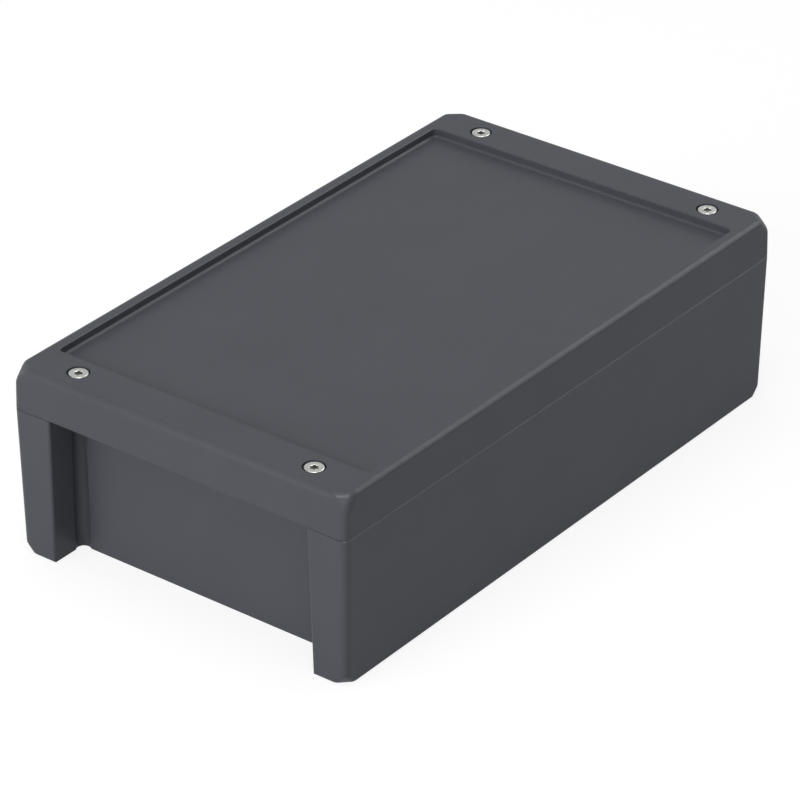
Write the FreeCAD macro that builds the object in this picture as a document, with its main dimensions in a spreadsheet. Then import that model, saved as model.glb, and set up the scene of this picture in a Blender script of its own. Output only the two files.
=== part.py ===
"""Die-cast aluminium enclosure with a screwed lid, as a parametric document in millimetres.

Frame: X runs along the box, Y across it, Z up. The origin is the centre of the underside.
Both ends have a recess for connectors between two corner posts, and the lid bridges it.
"""
import FreeCAD, Part
import os
import re
from math import pi, radians, tan

import Sketcher

Vector = FreeCAD.Vector

DIMENSIONS = [
    # Outer form
    ("box_length", 216.4, "length over the parting edge"),
    ("box_width", 125.0, "width over the parting edge"),
    ("base_height", 49.7, "underside to parting plane"),
    ("lid_height", 14.3, "parting plane to lid top"),
    ("draft_angle", 1.0, "draft of every cast wall, degrees"),
    ("end_edge_radius", 2.4, "lid top edge at the two ends"),
    ("side_edge_radius", 1.7, "lid top edge along the two long sides"),
    ("top_corner_radius", 3.0, "edges of the lid's corner cuts"),
    ("upright_radius", 2.3, "upright edges"),
    ("foot_bevel", 0.4, "bottom edge of the base"),
    ("foot_corner_radius", 1.5, "edges of the base's corner cuts"),
    ("parting_bevel", 0.35, "edge on each side of the parting line"),
    ("top_cut_along", 5.0, "corner cut of the lid, along X"),
    ("top_cut_across", 6.0, "corner cut of the lid, along Y"),
    ("top_cut_down", 6.0, "corner cut of the lid, along Z"),
    ("foot_cut", 4.2, "corner cut of the base, along each edge"),
    # Base
    ("floor_thickness", 3.4, "floor of the base"),
    ("rim_width", 4.4, "width of the land that carries the seal"),
    ("cavity_radius", 4.0, "upright inner corners"),
    ("floor_bevel", 1.2, "inner edge of the floor"),
    ("recess_depth", 12.8, "end face to recess wall, at the parting plane"),
    ("post_width", 14.0, "corner post across, at the parting plane"),
    ("relief_radius", 2.3, "round relief where post and recess wall meet"),
    ("relief_inset", 0.9, "relief centre from both walls of the recess, at the top"),
    ("post_edge_radius", 0.8, "inner front edge of each post"),
    ("flange_thickness", 2.8, "flange that closes the recess at the top"),
    ("flange_setback", 4.2, "flange edge behind the end face"),
    ("mount_bore", 5.3, "wall fixing hole in each post"),
    ("mount_counterbore", 9.0, "room for the fixing screw's head"),
    ("mount_seat", 6.0, "underside to the fixing screw's seat"),
    ("mount_inset_along", 6.8, "fixing hole from the end face"),
    ("mount_shift", 0.1, "fixing hole outwards from the middle of the post"),
    ("board_inset_along", 12.0, "board boss from the cavity's end wall"),
    ("board_inset_across", 12.1, "board boss from the cavity's side wall"),
    ("board_boss_diameter", 8.0, "board boss"),
    ("board_boss_height", 6.0, "board boss above the floor"),
    ("board_thread", 4.0, "threaded hole in a board boss"),
    ("board_thread_depth", 6.5, "depth of that hole"),
    # Seal
    ("tongue_width", 1.4, "sealing tongue on the base"),
    ("tongue_height", 1.6, "sealing tongue above the parting plane"),
    ("groove_width", 2.0, "groove in the lid"),
    ("gasket_width", 1.9, "gasket cord in the groove"),
    ("gasket_height", 1.5, "gasket cord, pressed"),
    ("lip_width", 1.2, "lid wall on the inner side of the groove"),
    # Lid
    ("panel_end_margin", 15.7, "box end to the field in the lid top"),
    ("panel_side_margin", 4.5, "box side to the field"),
    ("panel_depth", 3.0, "depth of the field"),
    ("panel_radius", 1.8, "upright corners of the field"),
    ("plate_thickness", 3.0, "lid plate under the field"),
    ("panel_floor_bevel", 0.6, "inner edge of the field's floor"),
    ("panel_rim_bevel", 0.3, "upper edge of the field"),
    ("lid_wall", 3.2, "lid wall round the end chambers"),
    ("end_plate", 3.6, "lid plate over the end chambers"),
    ("column_diameter", 8.4, "lid column round a screw"),
    ("column_gap", 0.2, "lid column above its boss"),
    # Lid screws
    ("screw_to_wall", 3.7, "lid screw from the recess wall"),
    ("screw_to_post", 4.3, "lid screw from the side of the post"),
    ("screw_thread", 3.5, "thread of a lid screw"),
    ("screw_grip", 5.5, "length of a screw inside its boss"),
    ("head_diameter", 6.0, "screw head"),
    ("head_height", 2.6, "screw head"),
    ("head_sunk", 0.2, "head top below the lid top"),
    ("drive_reach", 2.9, "six-lobe drive over opposite lobes"),
    ("drive_lobe", 0.9, "width of a lobe"),
    ("drive_depth", 1.3, "six-lobe drive"),
    ("counterbore", 7.2, "counterbore for the head"),
    ("screw_clearance", 4.0, "hole through the lid"),
    ("thread_bore", 3.6, "threaded hole in a boss"),
    ("boss_diameter", 7.0, "boss for a lid screw"),
    ("boss_rise", 5.0, "boss above the parting plane"),
    ("boss_floor", 1.2, "metal left under the threaded hole"),
]

SHEET = "Dims"
LOBE_PAIRS = 3
LOBE_STEP = 60
SAME = 0.02
FOUR_WAYS = ("XZ_Plane", "YZ_Plane")
TWO_ENDS = ("YZ_Plane",)
RECESS_WALL = "box_length / 2 - recess_depth"
RECESS_SIDE = "box_width / 2 - post_width"
PANEL_END = "box_length / 2 - panel_end_margin"
PANEL_SIDE = "box_width / 2 - panel_side_margin"
SCREW_PLACE = (RECESS_WALL + " + screw_to_wall", RECESS_SIDE + " - screw_to_post")
MOUNT_PLACE = ("box_length / 2 - mount_inset_along", "box_width / 2 - post_width / 2 + mount_shift")
BOARD_PLACE = (RECESS_WALL + " - rim_width - board_inset_along",
               "box_width / 2 - rim_width - board_inset_across")
SCREW_SIDES = {
    "lid_screw_1": (-1, -1),
    "lid_screw_2": (1, -1),
    "lid_screw_3": (1, 1),
    "lid_screw_4": (-1, 1),
}


def ref(alias):
    return SHEET + "." + alias


def expr(text):
    """Write each sheet alias in an expression with the sheet's name."""
    names = {name for name, value, note in DIMENSIONS}
    return re.sub(r"[a-z_]+", lambda word: ref(word[0]) if word[0] in names else word[0], text)


def make_sheet(doc):
    sheet = doc.addObject("Spreadsheet::Sheet", SHEET)
    for row, (alias, value, note) in enumerate(DIMENSIONS, start=1):
        sheet.set("A%d" % row, alias)
        sheet.set("B%d" % row, str(value))
        sheet.set("C%d" % row, note)
        sheet.setAlias("B%d" % row, alias)
    doc.recompute()


def new_body(doc, name):
    body = doc.addObject("PartDesign::Body", name)
    body.Label = name
    return body


def origin_plane(body, role):
    for feature in body.Origin.OriginFeatures:
        if feature.Role == role:
            return feature
    raise ValueError(role)


def new_sketch(body, name, height="0", role="XY_Plane"):
    """Add an empty sketch parallel to an origin plane, at a height from the sheet."""
    sketch = body.newObject("Sketcher::SketchObject", name)
    sketch.AttachmentSupport = [(origin_plane(body, role), "")]
    sketch.MapMode = "FlatFace"
    sketch.setExpression("AttachmentOffset.Base.z", expr(height))
    return sketch


def bind(sketch, index, name, text):
    """Name a constraint and tie it to the sheet."""
    sketch.renameConstraint(index, name)
    sketch.setExpression("Constraints." + name, expr(text))


def add_loop(sketch, points):
    """Draw four lines as one loop, with the first and third level."""
    for start, end in zip(points, points[1:] + points[:1]):
        sketch.addGeometry(Part.LineSegment(start, end), False)
    for line in range(4):
        sketch.addConstraint(Sketcher.Constraint("Coincident", line, 2, (line + 1) % 4, 1))
    for line in (0, 2):
        sketch.addConstraint(Sketcher.Constraint("Horizontal", line))


def add_rectangle(sketch, width, depth):
    """Draw a rectangle centred on the sketch origin."""
    x, y = 10.0, 5.0
    points = [Vector(-x, -y, 0), Vector(x, -y, 0), Vector(x, y, 0), Vector(-x, y, 0)]
    add_loop(sketch, points)
    for line in (1, 3):
        sketch.addConstraint(Sketcher.Constraint("Vertical", line))
    sketch.addConstraint(Sketcher.Constraint("Symmetric", 0, 1, 1, 2, -1, 1))
    across = sketch.addConstraint(Sketcher.Constraint("DistanceX", 0, 1, 0, 2, 2 * x))
    bind(sketch, across, "width", width)
    up = sketch.addConstraint(Sketcher.Constraint("DistanceY", 1, 1, 1, 2, 2 * y))
    bind(sketch, up, "depth", depth)


def add_rounded_ring(sketch, half_length, half_width, radius, tag):
    """Draw a rounded rectangle centred on the sketch origin."""
    x, y, r = 40.0, 20.0, 3.0
    first = sketch.GeometryCount
    corners = [(1, 1), (-1, 1), (-1, -1), (1, -1)]
    for number, (side_x, side_y) in enumerate(corners):
        centre = Vector(side_x * (x - r), side_y * (y - r), 0)
        start = number * pi / 2
        circle = Part.Circle(centre, Vector(0, 0, 1), r)
        sketch.addGeometry(Part.ArcOfCircle(circle, start, start + pi / 2), False)
    sides = [(Vector(x - r, y, 0), Vector(r - x, y, 0)), (Vector(-x, y - r, 0), Vector(-x, r - y, 0)),
             (Vector(r - x, -y, 0), Vector(x - r, -y, 0)), (Vector(x, r - y, 0), Vector(x, y - r, 0))]
    for start, end in sides:
        sketch.addGeometry(Part.LineSegment(start, end), False)
    arcs = [first + k for k in range(4)]
    lines = [first + 4 + k for k in range(4)]
    for number in range(4):
        sketch.addConstraint(Sketcher.Constraint("Tangent", arcs[number], 2, lines[number], 1))
        after = arcs[(number + 1) % 4]
        sketch.addConstraint(Sketcher.Constraint("Tangent", lines[number], 2, after, 1))
    for level, upright in ((0, 1), (2, 3)):
        sketch.addConstraint(Sketcher.Constraint("Horizontal", lines[level]))
        sketch.addConstraint(Sketcher.Constraint("Vertical", lines[upright]))
    for number in range(3):
        sketch.addConstraint(Sketcher.Constraint("Equal", arcs[number], arcs[number + 1]))
    sketch.addConstraint(Sketcher.Constraint("Symmetric", arcs[0], 3, arcs[2], 3, -1, 1))
    size = sketch.addConstraint(Sketcher.Constraint("Radius", arcs[0], r))
    bind(sketch, size, "radius" + tag, radius)
    along = sketch.addConstraint(Sketcher.Constraint("DistanceX", -1, 1, lines[3], 1, x))
    bind(sketch, along, "along" + tag, half_length)
    across = sketch.addConstraint(Sketcher.Constraint("DistanceY", -1, 1, lines[0], 1, y))
    bind(sketch, across, "across" + tag, half_width)


def add_circle(sketch, along, across, diameter):
    """Draw a circle at a place from the sheet."""
    x, y, radius = 50.0, 30.0, 2.0
    circle = sketch.addGeometry(Part.Circle(Vector(x, y, 0), Vector(0, 0, 1), radius), False)
    right = sketch.addConstraint(Sketcher.Constraint("DistanceX", -1, 1, circle, 3, x))
    bind(sketch, right, "along", along)
    up = sketch.addConstraint(Sketcher.Constraint("DistanceY", -1, 1, circle, 3, y))
    bind(sketch, up, "across", across)
    size = sketch.addConstraint(Sketcher.Constraint("Diameter", circle, 2 * radius))
    bind(sketch, size, "diameter", diameter)


def extrude(body, kind, name, sketch, length, reverse=False):
    """Add a Pad or a Pocket of one length."""
    feature = body.newObject("PartDesign::" + kind, name)
    feature.Profile = sketch
    feature.Reversed = reverse
    feature.setExpression("Length", expr(length))
    body.Document.recompute()
    return feature


def drafted(body, kind, name, level, depth, inner, outer, half_width, up=False, widen=False):
    """Add or cut a block whose four sides have the casting's draft, from a level up or down.

    Its section at the level runs from X = inner to X = outer. It narrows or widens from there.
    """
    feature = body.newObject("PartDesign::%sWedge" % kind, name)
    feature.AttachmentSupport = [(origin_plane(body, "XY_Plane"), "")]
    feature.MapMode = "FlatFace"
    turn = FreeCAD.Rotation(Vector(1, 0, 0), 90 if up else -90)
    feature.AttachmentOffset = FreeCAD.Placement(Vector(), turn)
    feature.setExpression("AttachmentOffset.Base.z", expr(level))
    slope = "(%s) * tan(draft_angle)" % depth
    grow, shrink = ("+", "-") if widen else ("-", "+")
    sizes = {
        "Xmin": inner,
        "Xmax": outer,
        "X2min": "%s %s %s" % (inner, shrink, slope),
        "X2max": "%s %s %s" % (outer, grow, slope),
        "Zmin": "-1 * (%s)" % half_width,
        "Zmax": half_width,
        "Z2min": "-1 * (%s %s %s)" % (half_width, grow, slope),
        "Z2max": "%s %s %s" % (half_width, grow, slope),
        "Ymin": "0",
        "Ymax": depth,
    }
    for key, text in sizes.items():
        feature.setExpression(key, expr(text))
    body.Document.recompute()
    return feature


def mirror(body, name, feature, roles):
    """Repeat a feature across one or both upright middle planes."""
    repeat = body.newObject("PartDesign::MultiTransform", name)
    repeat.Originals = [feature]
    steps = []
    for role in roles:
        step = body.newObject("PartDesign::Mirrored", name + "_" + role[:2].lower())
        step.MirrorPlane = (origin_plane(body, role), [""])
        steps.append(step)
    repeat.Transformations = steps
    body.Tip = repeat
    body.Document.recompute()


def dress_edges(body, kind, name, size_property, size, wanted):
    base = body.Tip
    edges = ["Edge%d" % number for number, edge in enumerate(base.Shape.Edges, start=1) if wanted(edge)]
    feature = body.newObject("PartDesign::" + kind, name)
    feature.Base = (base, edges)
    feature.setExpression(size_property, expr(size))
    body.Document.recompute()


def fillet(body, name, radius, wanted):
    """Round the edges that a test picks."""
    dress_edges(body, "Fillet", name, "Radius", radius, wanted)


def bevel(body, name, size, wanted):
    """Chamfer the edges that a test picks."""
    dress_edges(body, "Chamfer", name, "Size", size, wanted)


def ends_of(edge):
    return edge.Vertexes[0].Point, edge.Vertexes[-1].Point


def is_level(edge, height):
    return all(abs(point.z - height) < SAME for point in ends_of(edge))


def touches(edge, height):
    return any(abs(point.z - height) < SAME for point in ends_of(edge))


def corner_cut(body, name, along, across, down, top, shift):
    """Slice off the four outer corners of a drafted block with one oblique plane each."""
    sketch = new_sketch(body, name + "_outline")
    sign = "1" if top else "-1"
    offset = "AttachmentOffset."
    sketch.setExpression(offset + "Base.x", expr("box_length / 2 - %s - %s" % (shift, along)))
    sketch.setExpression(offset + "Base.y", expr("box_width / 2 - %s" % shift))
    sketch.setExpression(offset + "Base.z", expr("base_height + lid_height" if top else "0"))
    sketch.AttachmentOffset = FreeCAD.Placement(Vector(), FreeCAD.Rotation(Vector(1, 1, 0), 90))
    sketch.setExpression(offset + "Rotation.Axis.x", expr("-1 / %s" % across))
    sketch.setExpression(offset + "Rotation.Axis.y", expr("1 / %s" % along))
    lean = "atan2( sqrt( 1 / %s ^ 2 + 1 / %s ^ 2 ) ; %s / %s )" % (along, across, sign, down)
    sketch.setExpression(offset + "Rotation.Angle", expr(lean))
    reach = "2 * (%s + %s + %s)" % (along, across, down)
    add_rectangle(sketch, reach, reach)
    body.Document.recompute()
    cut = extrude(body, "Pocket", name, sketch, reach, reverse=True)
    mirror(body, name + "s", cut, FOUR_WAYS)


def round_edges(doc, name, blank, radius_of):
    """Round each edge of a blank by its own radius, with 0 for an edge that stays sharp."""
    rounded = doc.addObject("Part::Fillet", name)
    rounded.Base = blank
    radii = [radius_of(edge) for edge in blank.Shape.Edges]
    rounded.Edges = [(number, r, r) for number, r in enumerate(radii, start=1) if r > 0]
    doc.recompute()
    return rounded


def outer_form(doc, name, height, up, cut, radii):
    """Cast outer form: drafted block, cut corners, rounded edges. Return a body that goes on from it."""
    blank = new_body(doc, name + "_blank")
    drafted(blank, "Additive", name + "_block", "base_height", height, "-1 * box_length / 2",
            "box_length / 2", "box_width / 2", up=up)
    corner_cut(blank, name + "_corner", *cut, top=up, shift=height + " * tan(draft_angle)")
    rounded = round_edges(doc, name + "_rounded", blank, radii)
    body = new_body(doc, name)
    body.BaseFeature = rounded
    doc.recompute()
    return body


def lies_along(edge, axis):
    """Tell whether a straight level edge runs the whole way along X (0) or Y (1)."""
    start, end = ends_of(edge)
    return abs(start[1 - axis] - end[1 - axis]) < SAME < abs(start[axis] - end[axis])


def make_base(doc):
    """Cast base: corner posts, end recesses under a flange, open cavity, sealing tongue."""
    sheet = doc.getObject(SHEET)
    height = sheet.base_height

    def radii(edge):
        if is_level(edge, height) or is_level(edge, 0):
            return 0
        return sheet.upright_radius if touches(edge, height) else sheet.foot_corner_radius

    def is_post_edge(edge):
        foot_end = sheet.box_length / 2 - height * tan(radians(sheet.draft_angle))
        post_middle = sheet.box_width / 2 - sheet.post_width / 2
        start, end = ends_of(edge)
        upright = abs(start.z - end.z) > height / 2
        return upright and all(abs(point.x) > foot_end - SAME and abs(point.y) < post_middle
                               for point in (start, end))

    body = outer_form(doc, "base", "base_height", False, ("foot_cut", "foot_cut", "foot_cut"), radii)
    bevel(body, "parting_edge", "parting_bevel", lambda edge: is_level(edge, height))
    bevel(body, "foot_edge", "foot_bevel", lambda edge: is_level(edge, 0))

    cut = drafted(body, "Subtractive", "end_slot", "base_height", "base_height",
                  "box_length / 2 - flange_setback", "box_length", RECESS_SIDE, widen=True)
    mirror(body, "end_slots", cut, TWO_ENDS)
    fillet(body, "post_edges", "post_edge_radius", is_post_edge)

    cut = drafted(body, "Subtractive", "recess", "base_height - flange_thickness",
                  "base_height - flange_thickness", RECESS_WALL, "box_length",
                  RECESS_SIDE + " + flange_thickness * tan(draft_angle)", widen=True)
    mirror(body, "recesses", cut, TWO_ENDS)

    relief = new_sketch(body, "relief_outline", "base_height - flange_thickness")
    add_circle(relief, RECESS_WALL + " + relief_inset", RECESS_SIDE + " - relief_inset", "2 * relief_radius")
    doc.recompute()
    cut = extrude(body, "Pocket", "relief", relief, "base_height - flange_thickness")
    mirror(body, "reliefs", cut, FOUR_WAYS)

    centred(body, "cavity", "base_height - floor_thickness", " - rim_width", up=False)
    bevel(body, "floor_edge", "floor_bevel", lambda edge: is_level(edge, sheet.floor_thickness))

    tongue = new_sketch(body, "tongue_outline", "base_height")
    add_seal_ring(tongue, "tongue_width")
    doc.recompute()
    extrude(body, "Pad", "tongue", tongue, "tongue_height")

    add_posts_and_bosses(body)
    return body


def centred(body, name, depth, inset, up):
    """Cut a drafted hollow with round upright corners, inside the wall of the recesses and long sides."""
    sheet = body.Document.getObject(SHEET)
    half_length = sheet.box_length / 2 - sheet.recess_depth
    half_width = sheet.box_width / 2

    def is_corner(edge):
        start, end = ends_of(edge)
        inside = all(abs(point.x) < half_length - sheet.rim_width / 2 and
                     abs(point.y) < half_width - sheet.rim_width / 2 for point in (start, end))
        return inside and abs(start.z - end.z) > sheet.cavity_radius

    reach = RECESS_WALL + inset
    drafted(body, "Subtractive", name, "base_height", depth, "-1 * (%s)" % reach, reach,
            "box_width / 2" + inset, up=up)
    fillet(body, name + "_corners", "cavity_radius", is_corner)


def add_seal_ring(sketch, width):
    """Draw a ring of one width along the middle of the sealing land."""
    for tag, sign in (("_outer", "+"), ("_inner", "-")):
        half = " - rim_width / 2 %s %s / 2" % (sign, width)
        add_rounded_ring(sketch, RECESS_WALL + half, "box_width / 2" + half,
                         "cavity_radius + rim_width / 2 %s %s / 2" % (sign, width), tag)


def round_feature(body, kind, name, height, along, across, diameter, length):
    """Add a round Pad or Pocket at one place and its three mirror images."""
    sketch = new_sketch(body, name + "_outline", height)
    add_circle(sketch, along, across, diameter)
    body.Document.recompute()
    feature = extrude(body, kind, name, sketch, length)
    mirror(body, name + "_set", feature, FOUR_WAYS)


def add_posts_and_bosses(body):
    """Fixing holes down the posts, threaded bosses for the lid and for a board."""
    round_feature(body, "Pocket", "mount_room", "base_height", *MOUNT_PLACE, "mount_counterbore",
                  "base_height - mount_seat")
    round_feature(body, "Pocket", "mount_hole", "mount_seat", *MOUNT_PLACE, "mount_bore", "mount_seat")
    round_feature(body, "Pad", "lid_boss", "base_height", *SCREW_PLACE, "boss_diameter", "boss_rise")
    round_feature(body, "Pocket", "lid_thread", "base_height + boss_rise", *SCREW_PLACE, "thread_bore",
                  "boss_rise + flange_thickness - boss_floor")
    round_feature(body, "Pad", "board_boss", "floor_thickness", *BOARD_PLACE, "board_boss_diameter",
                  "board_boss_height")
    round_feature(body, "Pocket", "board_thread", "floor_thickness + board_boss_height", *BOARD_PLACE,
                  "board_thread", "board_thread_depth")


def make_lid(doc):
    """Cast lid: shallow field in the top, chambers over both ends, groove for the seal."""
    sheet = doc.getObject(SHEET)
    parting = sheet.base_height
    top = parting + sheet.lid_height

    def radii(edge):
        if is_level(edge, parting):
            return 0
        if is_level(edge, top) and lies_along(edge, 0):
            return sheet.side_edge_radius
        if is_level(edge, top) and lies_along(edge, 1):
            return sheet.end_edge_radius
        return sheet.upright_radius if touches(edge, parting) else sheet.top_corner_radius

    def is_panel_rim(edge):
        panel_end = sheet.box_length / 2 - sheet.panel_end_margin
        panel_side = sheet.box_width / 2 - sheet.panel_side_margin
        return is_level(edge, top) and all(abs(point.x) < panel_end + SAME and abs(point.y) < panel_side + SAME
                                           for point in ends_of(edge))

    body = outer_form(doc, "lid", "lid_height", True, ("top_cut_along", "top_cut_across", "top_cut_down"),
                      radii)
    bevel(body, "lid_parting_edge", "parting_bevel", lambda edge: is_level(edge, parting))

    panel = new_sketch(body, "panel_outline", "base_height + lid_height")
    add_rounded_ring(panel, PANEL_END, PANEL_SIDE, "panel_radius", "")
    doc.recompute()
    extrude(body, "Pocket", "panel", panel, "panel_depth")
    bevel(body, "panel_floor_edge", "panel_floor_bevel",
          lambda edge: is_level(edge, top - sheet.panel_depth))
    bevel(body, "panel_rim_edge", "panel_rim_bevel", is_panel_rim)

    centred(body, "hollow", "lid_height - panel_depth - plate_thickness",
            " - rim_width / 2 - groove_width / 2 - lip_width", up=True)

    groove_side = RECESS_WALL + " - rim_width / 2 + groove_width / 2"
    cut = drafted(body, "Subtractive", "chamber", "base_height", "lid_height - end_plate",
                  groove_side + " + lip_width", "box_length / 2 - lid_wall", "box_width / 2 - lid_wall",
                  up=True)
    mirror(body, "chambers", cut, TWO_ENDS)

    round_feature(body, "Pad", "column", "base_height + boss_rise + column_gap", *SCREW_PLACE,
                  "column_diameter", "lid_height - end_plate - boss_rise - column_gap")

    groove = new_sketch(body, "groove_outline", "base_height")
    add_seal_ring(groove, "groove_width")
    doc.recompute()
    extrude(body, "Pocket", "groove", groove, "tongue_height + gasket_height", reverse=True)

    round_feature(body, "Pocket", "counterbore", "base_height + lid_height", *SCREW_PLACE, "counterbore",
                  "head_sunk + head_height")
    round_feature(body, "Pocket", "screw_hole", "base_height + lid_height", *SCREW_PLACE, "screw_clearance",
                  "lid_height")
    return body


def make_gasket(doc):
    """Seal cord that fills the upper part of the lid's groove and rests on the tongue."""
    body = new_body(doc, "lid_gasket")
    ring = new_sketch(body, "gasket_outline", "base_height + tongue_height")
    add_seal_ring(ring, "gasket_width")
    doc.recompute()
    extrude(body, "Pad", "gasket_ring", ring, "gasket_height")
    return body


def make_screw(doc, name, side_along, side_across):
    """Cylinder-head screw with a six-lobe drive, its seat at the body's own origin."""
    body = new_body(doc, name)
    shank = new_sketch(body, name + "_shank_outline")
    add_circle(shank, "0", "0", "screw_thread")
    head = new_sketch(body, name + "_head_outline")
    add_circle(head, "0", "0", "head_diameter")
    doc.recompute()
    extrude(body, "Pad", name + "_head", head, "head_height")
    seat = "lid_height - head_sunk - head_height"
    extrude(body, "Pad", name + "_shank", shank, seat + " - boss_rise + screw_grip", reverse=True)
    lobes = new_sketch(body, name + "_lobes_outline", "head_height")
    add_rectangle(lobes, "drive_reach", "drive_lobe")
    doc.recompute()
    cut = extrude(body, "Pocket", name + "_lobes", lobes, "drive_depth")
    pattern = body.newObject("PartDesign::PolarPattern", name + "_drive")
    pattern.Originals = [cut]
    pattern.Axis = (lobes, ["N_Axis"])
    pattern.Angle = LOBE_STEP * (LOBE_PAIRS - 1)
    pattern.Occurrences = LOBE_PAIRS
    body.Tip = pattern
    place = "Placement.Base."
    body.setExpression(place + "x", expr("%d * (%s)" % (side_along, SCREW_PLACE[0])))
    body.setExpression(place + "y", expr("%d * (%s)" % (side_across, SCREW_PLACE[1])))
    body.setExpression(place + "z", expr("base_height + " + seat))
    doc.recompute()
    return body


def check_document(doc):
    """Stop if any object of the document failed."""
    for feature in doc.Objects:
        if {"Invalid", "Error"} & set(feature.State):
            raise RuntimeError("%s: %s" % (feature.Name, feature.State))


def export(body):
    """Write one sub-part as a STEP file named after its label."""
    shape = body.Shape
    if shape.isNull() or not shape.isValid() or len(shape.Solids) != 1:
        raise RuntimeError("%s is not one valid solid" % body.Label)
    shape.exportStep("parts/%s.step" % body.Label)


def main():
    doc = FreeCAD.newDocument("enclosure")
    make_sheet(doc)
    parts = [make_base(doc), make_lid(doc), make_gasket(doc)]
    parts += [make_screw(doc, name, *sides) for name, sides in SCREW_SIDES.items()]
    doc.recompute()
    check_document(doc)
    os.makedirs("parts", exist_ok=True)
    for body in parts:
        export(body)


main()
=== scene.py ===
"""Looks of the powder-coated enclosure: materials, screws, camera, light and floor, in metres."""

from math import cos, pi, radians, sin
from typing import NamedTuple

import bmesh
import bpy
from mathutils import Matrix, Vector


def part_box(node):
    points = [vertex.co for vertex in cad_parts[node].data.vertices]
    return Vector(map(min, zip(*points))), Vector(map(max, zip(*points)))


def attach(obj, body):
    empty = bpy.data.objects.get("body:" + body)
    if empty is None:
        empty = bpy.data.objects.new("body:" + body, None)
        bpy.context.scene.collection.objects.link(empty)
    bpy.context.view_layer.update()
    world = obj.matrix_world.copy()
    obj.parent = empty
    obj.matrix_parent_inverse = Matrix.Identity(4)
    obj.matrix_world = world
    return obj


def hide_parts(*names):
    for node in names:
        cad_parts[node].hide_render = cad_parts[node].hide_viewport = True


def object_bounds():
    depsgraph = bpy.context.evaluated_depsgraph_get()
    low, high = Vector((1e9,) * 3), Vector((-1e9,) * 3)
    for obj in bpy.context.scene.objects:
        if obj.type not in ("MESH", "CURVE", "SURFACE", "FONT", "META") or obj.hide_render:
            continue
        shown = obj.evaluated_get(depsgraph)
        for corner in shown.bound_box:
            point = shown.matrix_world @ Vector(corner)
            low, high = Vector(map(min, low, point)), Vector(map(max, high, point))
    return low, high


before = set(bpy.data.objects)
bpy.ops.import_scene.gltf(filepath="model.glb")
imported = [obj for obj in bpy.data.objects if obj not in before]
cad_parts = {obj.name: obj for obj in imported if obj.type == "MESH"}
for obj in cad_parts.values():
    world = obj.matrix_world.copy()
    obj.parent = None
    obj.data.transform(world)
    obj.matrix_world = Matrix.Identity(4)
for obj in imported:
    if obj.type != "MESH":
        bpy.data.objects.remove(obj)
cad_low, cad_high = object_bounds()


class Texture(NamedTuple):
    """Noise, with its scale in waves per millimetre."""
    scale: float
    detail: float = 2.0
    roughness: float = 0.5


class Relief(NamedTuple):
    """Bump made by a noise, with its height in millimetres."""
    texture: Texture
    height: float
    strength: float


class Lamp(NamedTuple):
    """Square lamp: its place and side in metres and its power in watts."""
    name: str
    place: tuple
    side: float
    power: float
    only_highlights: bool = False


MM = 0.001

# Camera at the photo's viewing angle
CAMERA_HEADING = radians(37.512)
CAMERA_PITCH = radians(30.057)
CAMERA_DISTANCE = 1.3772
CAMERA_TARGET = Vector((7.87, 7.29, 18.46)) * MM
CAMERA_LENS = 199.35
CAMERA_SENSOR = 36.0

# Powder coat
COAT_COLOUR = (0.076, 0.079, 0.092, 1.0)
COAT_CLOUD = Texture(0.045, detail=3.0)
COAT_SHADES = (0.97, 1.03)
COAT_GLOSS = Texture(0.35, detail=3.0)
COAT_ROUGHNESS = (0.32, 0.38)
COAT_SPECULAR = 0.08
COAT_PEEL = Relief(Texture(0.7), height=0.05, strength=0.35)
COAT_GRAIN = Relief(Texture(3.2, roughness=0.6), height=0.02, strength=0.5)

# Stainless steel
STEEL_COLOUR = (0.385, 0.388, 0.370, 1.0)
STEEL_CLOUD = Texture(1.2, detail=3.0)
STEEL_SHADES = (0.94, 1.04)
STEEL_GLOSS = Texture(4.0)
STEEL_ROUGHNESS = (0.26, 0.38)
STEEL_GRAIN = Relief(Texture(6.0), height=0.01, strength=0.3)
# Painted shade inside a screw's drive: the share of the steel's colour that is left deep in the drive
DRIVE_PAINTED_SHADE = 0.60

# Rubber
RUBBER_COLOUR = (0.012, 0.012, 0.013, 1.0)
RUBBER_CLOUD = Texture(0.8)
RUBBER_SHADES = (0.8, 1.2)
RUBBER_ROUGHNESS = 0.8
RUBBER_GRAIN = Relief(Texture(4.0), height=0.03, strength=0.6)

# Floor: the colour that throws light on the object, and the colour and glow that are seen
FLOOR_COLOUR = (0.80, 0.80, 0.80, 1.0)
FLOOR_SEEN = (0.25, 0.25, 0.25, 1.0)
FLOOR_GLOW = 0.82
FLOOR_REACH = 4.0
FLOOR_GAP = 0.1 * MM

# Surroundings: white where they are seen, and the strength of their light on the object
WHITE = (1.0, 1.0, 1.0, 1.0)
AMBIENT = 0.25

LAMPS = [
    Lamp("lamp_front", (-1.20, -0.35, 0.70), side=1.6, power=6.5),
    Lamp("lamp_left", (-1.30, 0.35, 0.45), side=0.9, power=8.5),
    Lamp("lamp_over", (0.00, 0.00, 1.20), side=0.9, power=5.8),
    Lamp("glint_edge", (0.97, -0.10, 1.02), side=0.6, power=6.0, only_highlights=True),
    Lamp("glint_side", (1.06, -0.72, 0.72), side=1.2, power=22.0, only_highlights=True),
    Lamp("glint_corner", (-0.65, -0.60, 1.15), side=0.5, power=27.0, only_highlights=True),
]
LAMP_TARGET = Vector((0.0, 0.0, 0.04))

# Lid screws, in millimetres
HEAD_RADIUS = 3.0
HEAD_HEIGHT = 2.6
HEAD_EDGE = 0.18
DRIVE_RADIUS = 1.26
DRIVE_WAVE = 0.22
DRIVE_LOBES = 6
DRIVE_BEVEL = 0.1
DRIVE_DEPTH = 1.2
THREAD_RADIUS = 1.75
THREAD_ROOT = 1.35
THREAD_PITCH = 0.6
SHANK_LENGTH = 12.0
SCREW_TURNS = [radians(turn) for turn in (37, 34, 40, 36)]

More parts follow.
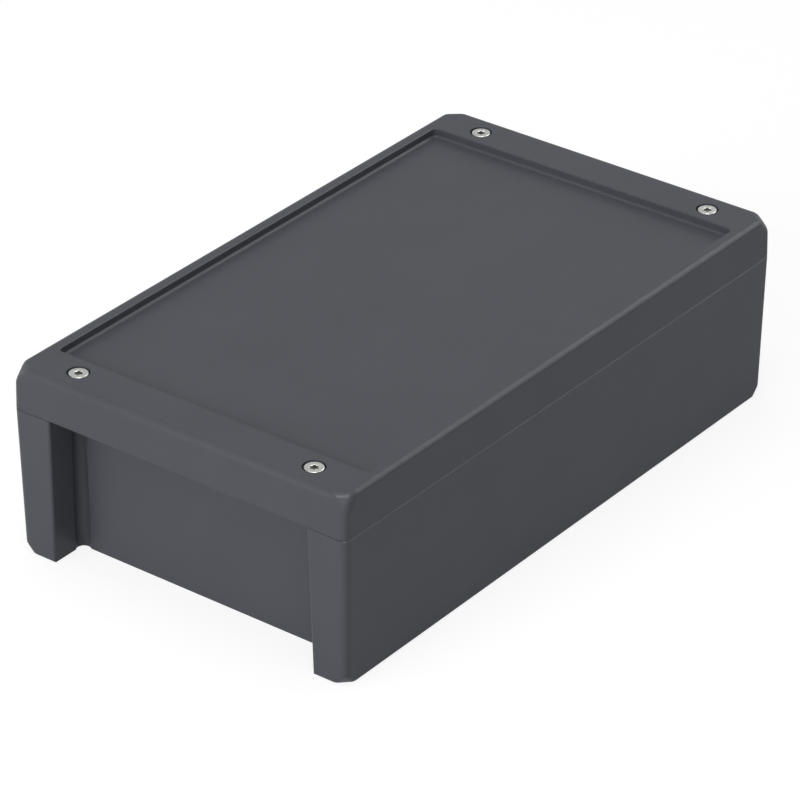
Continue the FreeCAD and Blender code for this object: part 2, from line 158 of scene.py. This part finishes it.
# Fineness of a screw's mesh: sides all round, steps on the head's edge and in one turn of thread
SCREW_SIDES = 48
EDGE_STEPS = 6
PITCH_STEPS = 4
SHARP_ANGLE = radians(40)
MERGE_DISTANCE = 0.001 * MM

# The middle range of a noise, and the numbers of a Mix node's colour sockets
NOISE_RANGE = (0.3, 0.7)
MIX_FIRST, MIX_SECOND, MIX_RESULT = 6, 7, 2


class Nodes:
    """Short way to build a node tree. A value is a number, a colour or the output of a node."""

    def __init__(self, tree):
        self.tree = tree

    def put(self, socket, value):
        """Link an input where the value is an output, and otherwise set it."""
        if isinstance(value, bpy.types.NodeSocket):
            self.tree.links.new(value, socket)
        else:
            socket.default_value = value

    def add(self, kind, inputs=None, **settings):
        """A new node, with its inputs named or numbered."""
        node = self.tree.nodes.new(kind)
        for name, value in settings.items():
            setattr(node, name, value)
        for key, value in (inputs or {}).items():
            self.put(node.inputs[key], value)
        return node

    def math(self, operation, first, second):
        return self.add("ShaderNodeMath", {0: first, 1: second}, operation=operation).outputs[0]

    def mapped(self, value, source, target):
        """A value brought from one range to another, and kept inside it."""
        ranges = {"From Min": source[0], "From Max": source[1], "To Min": target[0], "To Max": target[1]}
        return self.add("ShaderNodeMapRange", {"Value": value, **ranges}).outputs["Result"]


class Finish(Nodes):
    """Material whose textures are fixed to the object."""

    def __init__(self, name):
        self.material = node_material(name)
        super().__init__(self.material.node_tree)
        place = self.add("ShaderNodeTexCoord").outputs["Object"]
        scaled = self.add("ShaderNodeVectorMath", {0: place, "Scale": 1 / MM}, operation="SCALE")
        self.where = scaled.outputs["Vector"]

    def noise(self, texture):
        inputs = {"Vector": self.where, "Scale": texture.scale, "Detail": texture.detail,
                  "Roughness": texture.roughness}
        return self.add("ShaderNodeTexNoise", inputs).outputs["Fac"]

    def spread(self, texture, values):
        """A noise spread over a range of values."""
        return self.mapped(self.noise(texture), NOISE_RANGE, values)

    def bump(self, relief, under=None):
        """A relief, which may lie on top of another."""
        inputs = {"Height": self.noise(relief.texture), "Distance": relief.height * MM,
                  "Strength": relief.strength}
        if under:
            inputs["Normal"] = under
        return self.add("ShaderNodeBump", inputs).outputs["Normal"]

    def tinted(self, colour, shade):
        """A colour made lighter or darker by a shade."""
        inputs = {"Factor": 1.0, MIX_FIRST: colour, MIX_SECOND: shade}
        mix = self.add("ShaderNodeMix", inputs, data_type="RGBA", blend_type="MULTIPLY")
        return mix.outputs[MIX_RESULT]

    def applied(self, inputs):
        """The material, once the inputs of its shader are set."""
        for name, value in inputs.items():
            self.put(self.tree.nodes["Principled BSDF"].inputs[name], value)
        return self.material


def node_material(name):
    material = bpy.data.materials.new(name)
    material.use_nodes = True
    return material


def powder_coat(name):
    """Fine matt powder coat: faint cloudiness, orange peel and a fine grain."""
    finish = Finish(name)
    return finish.applied({
        "Base Color": finish.tinted(COAT_COLOUR, finish.spread(COAT_CLOUD, COAT_SHADES)),
        "Roughness": finish.spread(COAT_GLOSS, COAT_ROUGHNESS),
        "Specular IOR Level": COAT_SPECULAR,
        "Normal": finish.bump(COAT_GRAIN, under=finish.bump(COAT_PEEL)),
    })


def painted_drive_shade(finish):
    """1 on the outside of a screw and darker inside its drive: painted shade for the shadow in the
    recess.
    """
    flat = finish.add("ShaderNodeVectorMath", {0: finish.where, 1: (1, 1, 0)}, operation="MULTIPLY")
    reach = finish.add("ShaderNodeVectorMath", {0: flat.outputs[0]}, operation="LENGTH").outputs["Value"]
    height = finish.add("ShaderNodeSeparateXYZ", {0: finish.where}).outputs["Z"]
    mouth = (HEAD_HEIGHT - 2 * DRIVE_BEVEL, HEAD_HEIGHT - DRIVE_BEVEL / 2)
    inside = finish.mapped(height, mouth, (DRIVE_PAINTED_SHADE, 1.0))
    between_drive_and_rim = (DRIVE_RADIUS + DRIVE_WAVE + HEAD_RADIUS) / 2
    outside = finish.math("GREATER_THAN", reach, between_drive_and_rim)
    shank = finish.math("LESS_THAN", height, 0.0)
    return finish.math("MAXIMUM", inside, finish.math("MAXIMUM", outside, shank))


def stainless(name, drive=False):
    """Turned stainless steel, which may have painted shade inside the drive of a screw."""
    finish = Finish(name)
    shade = finish.spread(STEEL_CLOUD, STEEL_SHADES)
    if drive:
        # Painted shade inside the drive, darkening the steel's colour there
        shade = finish.math("MULTIPLY", shade, painted_drive_shade(finish))
    return finish.applied({
        "Base Color": finish.tinted(STEEL_COLOUR, shade),
        "Metallic": 1.0,
        "Roughness": finish.spread(STEEL_GLOSS, STEEL_ROUGHNESS),
        "Normal": finish.bump(STEEL_GRAIN),
    })


def rubber(name):
    """Matt black foamed rubber."""
    finish = Finish(name)
    return finish.applied({
        "Base Color": finish.tinted(RUBBER_COLOUR, finish.spread(RUBBER_CLOUD, RUBBER_SHADES)),
        "Roughness": RUBBER_ROUGHNESS,
        "Normal": finish.bump(RUBBER_GRAIN),
    })


def ray_share(nodes):
    """1 for camera, glossy and transmission rays, which see the plain white surroundings."""
    path = nodes.add("ShaderNodeLightPath").outputs
    seen = nodes.math("MAXIMUM", path["Is Camera Ray"], path["Is Glossy Ray"])
    return nodes.math("MAXIMUM", seen, path["Is Transmission Ray"])


def floor_white(name):
    """Matt floor that throws light on the object, and shows white with the object's soft shadow."""
    material = node_material(name)
    nodes = Nodes(material.node_tree)
    nodes.tree.nodes.remove(nodes.tree.nodes["Principled BSDF"])
    lit = nodes.add("ShaderNodeBsdfDiffuse", {"Color": FLOOR_COLOUR}).outputs[0]
    shadow = nodes.add("ShaderNodeBsdfDiffuse", {"Color": FLOOR_SEEN}).outputs[0]
    glow = nodes.add("ShaderNodeEmission", {"Strength": FLOOR_GLOW}).outputs[0]
    seen = nodes.add("ShaderNodeAddShader", {0: shadow, 1: glow}).outputs[0]
    surface = nodes.add("ShaderNodeMixShader", {"Fac": ray_share(nodes), 1: lit, 2: seen}).outputs[0]
    nodes.put(nodes.tree.nodes["Material Output"].inputs["Surface"], surface)
    return material


def dress_nodes():
    """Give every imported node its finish."""
    finishes = {"base": powder_coat("powder_coat_base"), "lid": powder_coat("powder_coat_lid"),
                "lid_gasket": rubber("gasket_rubber")}
    steel = stainless("stainless_steel")
    for name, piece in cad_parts.items():
        piece.data.materials.clear()
        piece.data.materials.append(finishes.get(name, steel))


def drive_radius(angle):
    """Radius of the lobed drive at an angle."""
    return DRIVE_RADIUS + DRIVE_WAVE * cos(DRIVE_LOBES * angle)


def thread_radius(height):
    """Radius of the thread at a height, as a function of the angle."""
    def radius(angle):
        phase = (height / THREAD_PITCH + angle / (2 * pi)) % 1.0
        return THREAD_RADIUS - (THREAD_RADIUS - THREAD_ROOT) * abs(2 * phase - 1)
    return radius


def screw_rings():
    """Radius and height of each ring of a screw, from the middle of its drive to its tip."""
    top, floor, tip = HEAD_HEIGHT, HEAD_HEIGHT - DRIVE_DEPTH, -SHANK_LENGTH
    rings = [(0.0, floor - DRIVE_BEVEL), (drive_radius, floor), (drive_radius, top - DRIVE_BEVEL),
             (lambda angle: drive_radius(angle) + DRIVE_BEVEL, top)]
    for step in range(EDGE_STEPS, -1, -1):
        turn = radians(90) * step / EDGE_STEPS
        rings.append((HEAD_RADIUS - HEAD_EDGE * (1 - cos(turn)), top - HEAD_EDGE * (1 - sin(turn))))
    rings += [(HEAD_RADIUS, 0.0), (THREAD_ROOT, 0.0)]
    threaded_turns = round(SHANK_LENGTH / THREAD_PITCH) - 1
    for step in range(1, threaded_turns * PITCH_STEPS):
        height = -step * THREAD_PITCH / PITCH_STEPS
        rings.append((thread_radius(height), height))
    return rings + [(THREAD_ROOT, tip + THREAD_PITCH), (THREAD_ROOT / 2, tip), (0.0, tip)]


def turned_mesh(name, rings):
    """Closed mesh through rings round the Z axis. The radius of a ring may be a function of the angle."""
    shape = bmesh.new()
    loops = []
    for radius, height in rings:
        loop = []
        for side in range(SCREW_SIDES):
            angle = 2 * pi * side / SCREW_SIDES
            reach = radius(angle) if callable(radius) else radius
            loop.append(shape.verts.new(Vector((reach * cos(angle), reach * sin(angle), height)) * MM))
        loops.append(loop)
    for upper, lower in zip(loops, loops[1:]):
        for side in range(SCREW_SIDES):
            after = (side + 1) % SCREW_SIDES
            shape.faces.new((upper[side], lower[side], lower[after], upper[after]))
    bmesh.ops.remove_doubles(shape, verts=shape.verts, dist=MERGE_DISTANCE)
    bmesh.ops.recalc_face_normals(shape, faces=shape.faces)
    mesh = bpy.data.meshes.new(name)
    shape.to_mesh(mesh)
    shape.free()
    mesh.shade_smooth()
    mesh.set_sharp_from_angle(angle=SHARP_ANGLE)
    return mesh


def add_object(name, data, place):
    thing = bpy.data.objects.new(name, data)
    thing.location = place
    bpy.context.scene.collection.objects.link(thing)
    return thing


def make_screws():
    """Rounded head with a lobed drive, and threaded shank, in place of each plain screw."""
    # Steel with painted shade inside each drive
    steel = stainless("screw_steel", drive=True)
    for number, turn in enumerate(SCREW_TURNS, start=1):
        name, plain = "screw_%d" % number, "lid_screw_%d" % number
        low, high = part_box(plain)
        place = ((low.x + high.x) / 2, (low.y + high.y) / 2, high.z - HEAD_HEIGHT * MM)
        screw = add_object(name, turned_mesh(name, screw_rings()), place)
        screw.data.materials.append(steel)
        screw.rotation_euler.z = turn
        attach(screw, "root")
        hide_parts(plain)


def make_world():
    """Soft ambient light, and white where the camera or a reflection sees it."""
    world = bpy.data.worlds.new("studio")
    world.use_nodes = True
    bpy.context.scene.world = world
    nodes = Nodes(world.node_tree)
    background = world.node_tree.nodes["Background"]
    nodes.put(background.inputs["Color"], WHITE)
    nodes.put(background.inputs["Strength"], nodes.mapped(ray_share(nodes), (0.0, 1.0), (AMBIENT, 1.0)))


def make_floor():
    """Large floor, a little lower than the underside, so that the two planes don't coincide."""
    mesh = bpy.data.meshes.new("floor")
    corners = [(-1, -1), (1, -1), (1, 1), (-1, 1)]
    mesh.from_pydata([(x * FLOOR_REACH, y * FLOOR_REACH, 0) for x, y in corners], [], [(0, 1, 2, 3)])
    mesh.materials.append(floor_white("floor_white"))
    floor = add_object("floor", mesh, (0, 0, cad_low.z - FLOOR_GAP))


def aim(thing, target):
    """Turn a lamp or camera to its target."""
    thing.rotation_mode = "QUATERNION"
    thing.rotation_quaternion = (target - thing.location).to_track_quat("-Z", "Y")


def make_lamps():
    """Soft square lamps round the object."""
    for lamp in LAMPS:
        light = bpy.data.lights.new(lamp.name, "AREA")
        light.size = lamp.side
        light.energy = lamp.power
        thing = add_object(lamp.name, light, lamp.place)
        thing.visible_diffuse = not lamp.only_highlights
        aim(thing, LAMP_TARGET)


def make_camera():
    """Camera that looks at its target along its heading, tilted down by its pitch."""
    data = bpy.data.cameras.new("camera")
    data.lens = CAMERA_LENS
    data.sensor_width = CAMERA_SENSOR
    ahead = Vector((cos(CAMERA_HEADING) * cos(CAMERA_PITCH), sin(CAMERA_HEADING) * cos(CAMERA_PITCH),
                    -sin(CAMERA_PITCH)))
    camera = add_object("camera", data, CAMERA_TARGET - CAMERA_DISTANCE * ahead)
    aim(camera, CAMERA_TARGET)
    bpy.context.scene.camera = camera


make_camera()
dress_nodes()
make_screws()
make_world()
make_floor()
make_lamps()
bpy.context.scene.view_settings.view_transform = "Standard"
